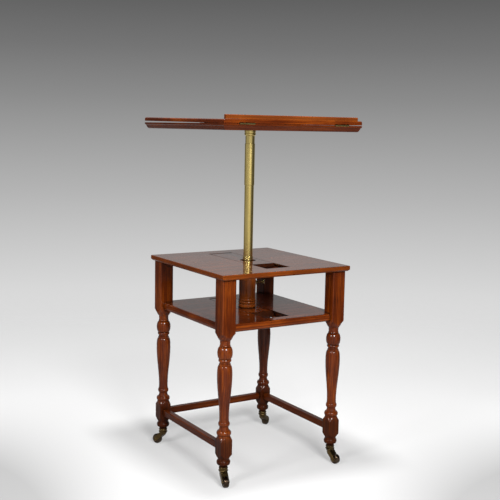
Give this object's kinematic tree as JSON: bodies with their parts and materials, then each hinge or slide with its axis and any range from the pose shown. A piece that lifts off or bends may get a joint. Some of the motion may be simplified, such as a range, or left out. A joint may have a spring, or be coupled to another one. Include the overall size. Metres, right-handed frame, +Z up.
{
  "type": "tilting reading table",
  "caption": "Two-tier table on turned legs and casters; a brass column on a sliding carriage carries a swivelling board with a hinged reading slope propped by a ratchet strut.",
  "frame": {"origin": "on the floor, under the middle of the table and of the column at the back of its slot", "axes": "+Z up; +X to the reader's right, along the slope's hinges; -Y towards the reader, at the front"},
  "size_m": [0.489, 0.5165, 1.1041],
  "materials": {
    "polished_mahogany": "polished",
    "dry_mahogany": "unpolished",
    "aged_brass": "worn lacquer",
    "dark_brass": "dark patina"
  },
  "bodies": {
    "frame": {"tabletop": "polished_mahogany", "undershelf": "polished_mahogany", "leg_front_left": "polished_mahogany", "leg_front_right": "polished_mahogany", "leg_back_left": "polished_mahogany", "leg_back_right": "polished_mahogany", "stretcher_left": "polished_mahogany", "stretcher_right": "polished_mahogany", "stretcher_back": "polished_mahogany", "table_rail_left": "dry_mahogany", "table_rail_right": "dry_mahogany", "shelf_rail_left": "dry_mahogany", "shelf_rail_right": "dry_mahogany", "caster_socket_front_left": "dark_brass", "caster_socket_front_right": "dark_brass", "caster_socket_back_left": "dark_brass", "caster_socket_back_right": "dark_brass"},
    "carriage": {"table_slide_panel": "polished_mahogany", "shelf_slide_panel": "polished_mahogany", "turned_sleeve": "polished_mahogany", "column_collar": "aged_brass", "foot_bush": "aged_brass", "lock_nut": "aged_brass"},
    "lock": {"lock_screw": "aged_brass"},
    "column": {"lower_tube": "aged_brass"},
    "head": {"upper_tube": "aged_brass", "column_head": "aged_brass", "reading_board": "polished_mahogany", "ratchet_rack_left": "aged_brass", "ratchet_rack_right": "aged_brass", "hinge_lower_leaf_left": "aged_brass", "hinge_lower_leaf_right": "aged_brass", "hinge_pin_left": "aged_brass", "hinge_pin_right": "aged_brass"},
    "slope": {"reading_slope": "polished_mahogany", "book_ledge": "polished_mahogany", "hinge_upper_leaf_left": "aged_brass", "hinge_upper_leaf_right": "aged_brass", "strut_bracket_left": "aged_brass", "strut_bracket_right": "aged_brass", "strut_pivot_pin_left": "aged_brass", "strut_pivot_pin_right": "aged_brass"},
    "strut": {"prop_strut": "polished_mahogany", "strut_foot_rod": "aged_brass"},
    "caster_front_left": {"caster_fork_front_left": "dark_brass", "caster_axle_front_left": "dark_brass"},
    "wheel_front_left": {"caster_wheel_front_left": "dark_brass"},
    "caster_front_right": {"caster_fork_front_right": "dark_brass", "caster_axle_front_right": "dark_brass"},
    "wheel_front_right": {"caster_wheel_front_right": "dark_brass"},
    "caster_back_left": {"caster_fork_back_left": "dark_brass", "caster_axle_back_left": "dark_brass"},
    "wheel_back_left": {"caster_wheel_back_left": "dark_brass"},
    "caster_back_right": {"caster_fork_back_right": "dark_brass", "caster_axle_back_right": "dark_brass"},
    "wheel_back_right": {"caster_wheel_back_right": "dark_brass"}
  },
  "joints": [
    {"name": "carriage_slide", "type": "slide", "parent": "frame", "child": "carriage", "axis": [0, -1, 0], "range_m": [0, 0.09]},
    {"name": "lock_turn", "type": "hinge", "parent": "carriage", "child": "lock", "pos_m": [0, 0, 0.57017], "axis": [1, 0, 0], "range_deg": [0, 720]},
    {"name": "column_rise", "type": "slide", "parent": "carriage", "child": "column", "axis": [0, 0, 1], "range_m": [-0.227, 0]},
    {"name": "head_swivel", "type": "hinge", "parent": "column", "child": "head", "pos_m": [0, 0, 0.95], "axis": [0, 0, 1], "continuous": true},
    {"name": "slope_tilt", "type": "hinge", "parent": "head", "child": "slope", "pos_m": [0, -0.2557, 1.079], "axis": [1, 0, 0], "range_deg": [-0.5, 59.5]},
    {"name": "strut_swing", "type": "hinge", "parent": "slope", "child": "strut", "pos_m": [0, -0.04071, 1.08088], "axis": [1, 0, 0], "range_deg": [-119, 1]},
    {"name": "caster_swivel_front_left", "type": "hinge", "parent": "frame", "child": "caster_front_left", "pos_m": [-0.1992, -0.2033, 0.045], "axis": [0, 0, 1], "continuous": true},
    {"name": "wheel_roll_front_left", "type": "hinge", "parent": "caster_front_left", "child": "wheel_front_left", "pos_m": [-0.20449, -0.2262, 0.016], "axis": [0.9744, -0.225, 0], "continuous": true},
    {"name": "caster_swivel_front_right", "type": "hinge", "parent": "frame", "child": "caster_front_right", "pos_m": [0.1992, -0.2033, 0.045], "axis": [0, 0, 1], "continuous": true},
    {"name": "wheel_roll_front_right", "type": "hinge", "parent": "caster_front_right", "child": "wheel_front_right", "pos_m": [0.20409, -0.22629, 0.016], "axis": [0.9781, 0.2079, 0], "continuous": true},
    {"name": "caster_swivel_back_left", "type": "hinge", "parent": "frame", "child": "caster_back_left", "pos_m": [-0.1992, 0.2033, 0.045], "axis": [0, 0, 1], "continuous": true},
    {"name": "wheel_roll_back_left", "type": "hinge", "parent": "caster_back_left", "child": "wheel_back_left", "pos_m": [-0.20987, 0.22424, 0.016], "axis": [-0.891, -0.454, 0], "continuous": true},
    {"name": "caster_swivel_back_right", "type": "hinge", "parent": "frame", "child": "caster_back_right", "pos_m": [0.1992, 0.2033, 0.045], "axis": [0, 0, 1], "continuous": true},
    {"name": "wheel_roll_back_right", "type": "hinge", "parent": "caster_back_right", "child": "wheel_back_right", "pos_m": [0.21995, 0.21433, 0.016], "axis": [-0.4695, 0.8829, 0], "continuous": true}
  ],
  "couplings": [
    {"joint": "strut_swing", "follows": "slope_tilt", "ratio": -2}
  ]
}
